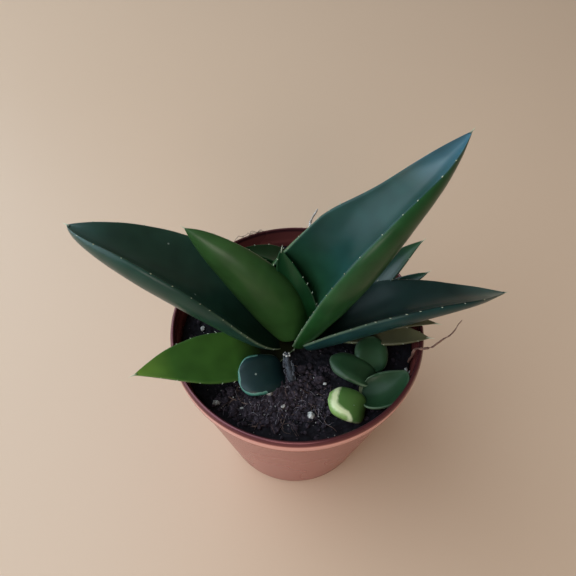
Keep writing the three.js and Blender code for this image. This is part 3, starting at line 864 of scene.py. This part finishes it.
def make_soil():
    gap, rings, spokes = SOIL["gap"], SOIL["rings"], SOIL["spokes"]
    radius = inner_radius(SOIL["level"]) - gap
    low = POT["floor"] + gap
    points = circle(inner_radius(low) - gap, low, spokes)
    points += circle(radius, SOIL["level"] - SOIL["edge"], spokes)
    for i in range(rings, 0, -1):
        for x, y, _ in circle((radius - gap) * i / rings, 0, spokes):
            points.append((x, y, soil_surface(x, y)))
    points += [(0, 0, soil_surface(0, 0)), (0, 0, low)]
    faces = ring_faces(rings + 2, spokes)
    last = (rings + 1) * spokes
    for j in range(spokes):
        after = (j + 1) % spokes
        faces += [(last + j, last + after, len(points) - 2), (after, j, len(points) - 1)]
    shape = Shape()
    shape.add(points, faces)
    place(shape.build("soil_bed", stuff_material("peat")), "soil", "soil")


def scatter(draw, on_heap):
    """A place on the soil, with the given share of them on the heap."""
    while True:
        if draw.random() < on_heap:
            x = draw.triangular(*HEAP["x"], MOUND["x"])
            y = draw.triangular(*HEAP["y"], MOUND["y"])
        else:
            x, y = draw.uniform(-SOIL["box"], SOIL["box"]), draw.uniform(-SOIL["box"], SOIL["box"])
        if math.hypot(x, y) < SOIL["reach"]:
            return x, y


def add_lump(shape, unit_ball, spot, radius, draw, sunk):
    """A knobbly crumb that lies on the soil, sunk by a share of its radius."""
    points, faces = unit_ball
    x, y = spot
    spin = Euler([draw.uniform(0, FULL_TURN) for _ in range(3)]).to_matrix()
    lump = np.array([spin @ Vector(p) for p in points])
    lump = rough(lump, LUMP["bump"], LUMP["rough"], draw.uniform(0, 90))
    stretch = [draw.uniform(*LUMP["wide"]), draw.uniform(*LUMP["wide"]), draw.uniform(*LUMP["tall"])]
    lump *= np.array(stretch) * radius
    shape.add(lump + (x, y, soil_surface(x, y) + radius * (0.5 - sunk)), faces)


def make_lumps(name, stuff, lumps, given=(), smooth=True):
    """Lumps on the soil: the given ones first, then many of mixed sizes."""
    draw = random.Random(lumps["seed"])
    shape = Shape()
    large, unit_ball = ball(3), ball(lumps["detail"])
    for x, y, radius in given:
        add_lump(shape, large, (x, y), radius, draw, GRAINS_SUNK)
    for _ in range(lumps["count"]):
        spot = scatter(draw, lumps["on_heap"])
        size = mix(lumps["smallest"], lumps["largest"], draw.random() ** lumps["power"])
        sunk = lumps["sunk"]
        if "uneven" in lumps:
            sunk += draw.uniform(-lumps["uneven"], lumps["uneven"])
        add_lump(shape, unit_ball, spot, size, draw, sunk)
    place(shape.build(name, stuff_material(stuff), smooth), "soil")


def add_threads(shape, threads):
    """Thin strands that loop out of the crumbs."""
    draw = random.Random(threads["seed"])
    for _ in range(threads["count"]):
        x, y = scatter(draw, STRANDS_ON_HEAP)
        heading = draw.uniform(0, FULL_TURN)
        length = draw.uniform(threads["shortest"], threads["longest"])
        route = []
        for k in range(5):
            heading += draw.uniform(-0.8, 0.8)
            lift = math.sin(math.pi * k / 4) * draw.uniform(0.2, threads["lift"])
            if math.hypot(x, y) > SOIL["reach"]:
                break
            route.append((x, y, soil_surface(x, y) - 0.1 + lift))
            x += math.cos(heading) * length / 4
            y += math.sin(heading) * length / 4
        if len(route) < 3:
            continue
        path = smooth_path(route, 14)
        thick = threads["radius"] * draw.uniform(0.6, 1.6)
        tube(shape, path, np.linspace(thick, thick * 0.5, len(path)), threads["sides"])


def make_threads(name, stuff, threads, sticks=()):
    """Thin strands among the crumbs, and sticks that lie on the soil."""
    shape = Shape()
    add_threads(shape, threads)
    for number, ((x, y), (far_x, far_y), radius) in enumerate(sticks):
        steps = [(mix(x, far_x, k / 5), mix(y, far_y, k / 5)) for k in range(6)]
        route = [(a, b, soil_surface(a, b) + radius) for a, b in steps]
        path = rough(smooth_path(route, 20), 2.0, 0.25, number)
        tube(shape, path, np.linspace(radius, radius * 0.7, len(path)))
    place(shape.build(name, stuff_material(stuff)), "soil")


def make_rim_hairs():
    """Root hairs that curl over the lip at the back."""
    draw = random.Random(RIM_HAIRS["seed"])
    wander = RIM_HAIRS["wander"]
    shape = Shape()
    for start, end in RIM_HAIRS["angles"]:
        route = []
        for k in range(7):
            angle = math.radians(mix(start, end, k / 6) + draw.uniform(-0.8, 0.8))
            radius = POT["rim"] - RIM_HAIRS["inset"] + draw.uniform(-wander, wander)
            lift = RIM_HAIRS["lift"] * math.sin(math.pi * k / 6) * draw.uniform(0.5, 1.1)
            height = POT["height"] - RIM_HAIRS["sunk"] + lift
            route.append((radius * math.cos(angle), radius * math.sin(angle), height))
        tube(shape, smooth_path(route, 24), np.full(24, RIM_HAIRS["radius"]), 6)
    place(shape.build("rim_hairs", stuff_material("root hair")), "dry")


# Stems and dry remains


def crown_radius(crown, height):
    """Radius of a stem at a height: rounded at its top, drawn in at its foot, and ringed."""
    radius = crown["radius"]
    if height > crown["shoulder"]:
        rise = (height - crown["shoulder"]) / (crown["top"] - crown["shoulder"])
        radius *= math.sqrt(max(0.01, 1 - rise ** 2))
    if height < crown["bottom"] + radius:
        radius *= mix(0.5, 1, (height - crown["bottom"]) / radius)
    ring = abs(math.sin(height * CROWN_RINGS["turn"]))
    return radius * (CROWN_RINGS["smallest"] + CROWN_RINGS["depth"] * ring)


def make_crown(name, crown, node_name, material, sides=64, levels=60):
    """A stem with the rings that old leaves leave, and a rounded top."""
    points = []
    for i in range(levels):
        height = mix(crown["bottom"], crown["top"] - 0.15, i / (levels - 1))
        points += circle(crown_radius(crown, height), height, sides, crown["x"], crown["y"])
    points = rough(np.array(points), 1.6, 0.12)
    shape = Shape()
    shape.add(points, ring_faces(levels, sides) + end_faces(len(points), sides))
    place(shape.build(name, material), "stem", node_name)


def make_strand(name, strand, node_name, stuff, count=90, sides=14):
    """A dry strand with knobs along it."""
    path = rough(smooth_path(strand["route"], count), 2.5, 0.18)
    start, end = strand["radius"]
    radii = []
    for k in range(count):
        knob = strand["knob"] * noise.noise(Vector((k * 0.33, start, 0)))
        radii.append(mix(start, end, k / (count - 1)) * (1 + knob))
    radii[-1] *= 0.3
    shape = Shape()
    tube(shape, path, radii, sides)
    shape.points[-1] = rough(shape.points[-1], start * 0.7, start * 0.16)
    place(shape.build(name, stuff_material(stuff)), "dry", node_name)


def make_old_stem_web():
    """Loose fibres round the old stem, and pale flecks at its top."""
    draw = random.Random(OLD_STEM["seed"])
    path = smooth_path(OLD_STEM["route"], 40)
    shape = Shape()
    for _ in range(OLD_STEM["fibres"]):
        first = draw.randrange(0, 26)
        last = min(len(path) - 1, first + draw.randrange(8, 22))
        angle, turn = draw.uniform(0, FULL_TURN), draw.uniform(-2.0, 2.0)
        reach = draw.uniform(0.9, 1.7)
        route = []
        for k in range(first, last, 3):
            around = angle + turn * (k - first) / 12
            wide = reach * draw.uniform(0.75, 1.15)
            route.append(path[k] + (wide * math.cos(around), 0.7 * wide * math.sin(around), 0.2 * wide))
        if len(route) > 2:
            tube(shape, smooth_path(route, 20), np.full(20, draw.uniform(0.04, 0.09)), 5)
    place(shape.build("old_stem_web", stuff_material("stem web")), "dry")
    shape = Shape()
    points, faces = ball(2)
    for _ in range(OLD_STEM["flecks"]):
        spot = path[draw.randrange(33, 40)]
        aside = [draw.uniform(-1, 1), draw.uniform(-0.6, 0.3), draw.uniform(-0.1, 0.5)]
        lump = rough(points, 0.8, 0.5, draw.uniform(0, 90)) * draw.uniform(0.18, 0.42)
        shape.add(lump + (spot + np.array(aside)), faces)
    place(shape.build("old_stem_flecks", stuff_material("pale grain")), "dry")


def make_remains():
    skin = stuff_material("stem skin")
    make_crown("stem_skin", STEM, "stem", skin)
    make_crown("offset_crown_skin", OFFSET_CROWN, "offset_crown", skin)
    make_strand("old_stem_husk", OLD_STEM, "old_stem", "husk")
    make_old_stem_web()
    make_strand("dry_root_skin", DRY_ROOT, "dry_root", "dry root")
    make_strand("dry_wisp_skin", DRY_WISP, "dry_wisp", "wisp")


# Leaves


def width_share(leaf, t):
    """How much of the leaf's full width is left at t."""
    widest = leaf["widest"]
    early = 1 - (1 - leaf["base_width"]) * (np.clip(widest - t, 0, None) / widest) ** 2
    run = (np.clip(t - widest, 0, None) / (1 - widest)) ** leaf["taper"]
    return early * (1 - run * (1 - leaf.get("cut_width", 0)))


def end_shares(leaf, t):
    """Shares of the full width and of the thickness that are left at t."""
    share = width_share(leaf, t)
    if "cut_width" not in leaf:
        return share, np.minimum(1, share ** 0.8)
    tip, base = BLUNT_FROM["tip"], BLUNT_FROM["base"]
    blunt = np.maximum(np.clip((t - tip) / (1 - tip), 0, 1), np.clip(1 - t / base, 0, 1))
    rounded = share * np.sqrt(np.clip(1 - 0.9 * blunt ** 3, 0.02, 1))
    return rounded, np.sqrt(np.clip(1 - blunt ** 4, 0.03, 1))


def leaf_frame(leaf, t):
    """Places and directions of the leaf's sections: along it, across it and out of its face."""
    a, b, c, d = [np.array(p, float) for p in leaf["curve"]]
    s = t[:, None]
    origin = (1 - s) ** 3 * a + 3 * s * (1 - s) ** 2 * b + 3 * s * s * (1 - s) * c + s ** 3 * d
    along = unit(3 * (1 - s) ** 2 * (b - a) + 6 * s * (1 - s) * (c - b) + 3 * s * s * (d - c))
    heading = unit((d - a) * (1, 1, 0))
    level = np.cross(heading, (0, 0, 1))
    across = unit(level - (along @ level)[:, None] * along)
    out = np.cross(across, along)
    roll = np.radians(through_three(leaf["roll"], t))[:, None]
    rolled_across = across * np.cos(roll) + out * np.sin(roll)
    rolled_out = out * np.cos(roll) - across * np.sin(roll)
    return origin, along, rolled_across, rolled_out


def leaf_surface(leaf, t, u):
    """Points of the upper and lower faces at places t along and u across, from -1 to 1."""
    origin, _, across, out = leaf_frame(leaf, t)
    share, slim = end_shares(leaf, t)
    curl = np.radians(through_three(leaf["curl"], t))[:, None]
    half = np.maximum(leaf["width"] * share / 2, 1e-4)[:, None]
    radius = half / curl
    angle = curl * u
    face = (origin[:, None] + (radius * np.sin(angle))[..., None] * across[:, None]
            + (radius * (1 - np.cos(angle)))[..., None] * out[:, None])
    normal = np.cos(angle)[..., None] * out[:, None] - np.sin(angle)[..., None] * across[:, None]
    full = np.clip(t / MARGIN["full"], 0, 1)
    sharp = mix(MARGIN["base"], MARGIN["tip"], full) * leaf["edge"] * 0.6 * slim
    sharp = np.maximum(np.minimum(sharp[:, None], half * 0.6), 1e-5)
    near = np.clip((np.abs(u) - 1) * half / (sharp * 1.6) + 1, 0, 1)
    drop = sharp * (1 - np.sqrt(1 - near ** 2))
    bulge = (1 - np.abs(u) ** 2.2) ** 0.62
    depth = sharp + np.maximum(leaf["thickness"] * slim[:, None] - sharp, 0) * bulge
    distance = (1 - np.abs(u)) * half
    return face - drop[..., None] * normal, face - depth[..., None] * normal, distance


def add_spine(shape, foot, direction, bend, length, radius):
    """A small curved spine, green at its foot and pale at its point."""
    levels, sides = 5, 6
    path, radii, pale = [], [], []
    for k in range(-1, levels + 1):
        share = k / levels
        path.append(foot + direction * (length * share) + bend * (0.35 * length * share ** 2))
        radii.append(radius * max(0.06, 1 - max(0, share)))
        pale += [min(1, max(0, share + 0.25))] * sides
    tube(shape, np.array(path), radii, sides, pale=pale, edge=FAR, along=0.5)


def add_teeth(shape, leaf, seed):
    """Teeth at uneven distances on both margins, leaning towards the tip."""
    draw = random.Random(seed)
    length = np.linalg.norm(np.diff(leaf_frame(leaf, np.linspace(0, 1, 60))[0], axis=0), axis=1).sum()
    for side in (-1, 1):
        at = TEETH["first"] * length
        while at < TEETH["last"] * length:
            near = at < TEETH["half"] * length
            t = np.array([at / length])
            upper, _, _ = leaf_surface(leaf, t, np.array([side * 0.9, side]))
            along = Vector(leaf_frame(leaf, t)[1][0])
            foot = Vector(upper[0, 1])
            out = (foot - Vector(upper[0, 0])).normalized()
            size = draw.uniform(*TEETH["size"]) * (1 if near else TEETH["far_size"])
            direction = (out + along * draw.uniform(*TEETH["lean"])).normalized()
            add_spine(shape, foot - out * TEETH["sunk"], direction, along, size, TEETH["radius"])
            at += draw.uniform(*TEETH["spacing"]) * (1 if near else TEETH["far_spacing"])


def add_tip_spine(shape, leaf):
    origin, along, _, _ = leaf_frame(leaf, np.array([1.0]))
    ahead = Vector(along[0])
    foot = Vector(origin[0]) - ahead * TIP_SPINE["sunk"]
    add_spine(shape, foot, ahead, ahead, TIP_SPINE["length"], TIP_SPINE["radius"])


def scar_distance(leaf, t, edge, u):
    """How far a point lies from the outline of the cut end, in millimetres."""
    if "cut_width" not in leaf:
        return np.full_like(t, FAR)
    length = np.linalg.norm(np.subtract(leaf["curve"][3], leaf["curve"][0]))
    from_end = (1 - t) * length
    bare = leaf.get("healed_side", 0) * u > 0.1
    from_side = np.where(bare, FAR, edge + np.clip(0.55 - t, 0, 1) * 12)
    return (np.maximum(from_end, 0.01) ** -3 + np.maximum(from_side, 0.01) ** -3) ** (-1 / 3)


def make_leaf(name, leaf, seed):
    rows, columns = leaf["steps"]
    t = np.linspace(0, 1, rows)
    t = t if "cut_width" in leaf else 1 - (1 - t) ** 1.15
    u = np.sin(np.linspace(-1, 1, columns) * math.pi / 2)
    upper, lower, distance = leaf_surface(leaf, t, u)
    ring = np.concatenate([upper, lower[:, -2:0:-1]], axis=1)
    size = ring.shape[1]
    points = rough(ring.reshape(-1, 3), 9.0, 0.16, seed)
    faces = ring_faces(rows, size) + end_faces(len(points), size)
    along = np.repeat(t, size)
    edge = np.concatenate([distance, distance[:, -2:0:-1]], axis=1).ravel()
    under = np.concatenate([np.zeros_like(distance), np.ones_like(distance[:, 2:])], axis=1).ravel()
    across = np.tile(np.concatenate([u, u[-2:0:-1]]), rows)
    scar = scar_distance(leaf, along, edge, across)
    shape = Shape("along", "edge", "under", "pale", "scar")
    shape.add(points, faces, along=along, edge=edge, under=under, scar=scar)
    if "cut_width" not in leaf:
        add_teeth(shape, leaf, seed)
        add_tip_spine(shape, leaf)
    piece = shape.build(name + "_skin", leaf_material(name, leaf["finish"]))
    place(piece, SLOTS.get(leaf["finish"], "leaf"), name)


make_camera()
make_floor()
make_sky()
make_lights()
make_pot()
make_soil()
make_lumps("soil_crumbs", "bark crumb", CRUMBS, smooth=False)
make_lumps("soil_clods", "bark crumb", CLODS)
make_lumps("pale_grains", "pale grain", GRAIN_DUST, GRAINS)
make_threads("rootlets", "fibre", ROOTLETS, STICKS)
make_threads("pale_threads", "pale thread", THREADS)
make_rim_hairs()
for number, (leaf_name, leaf) in enumerate(LEAVES.items()):
    make_leaf(leaf_name, leaf, number + 1)

make_remains()
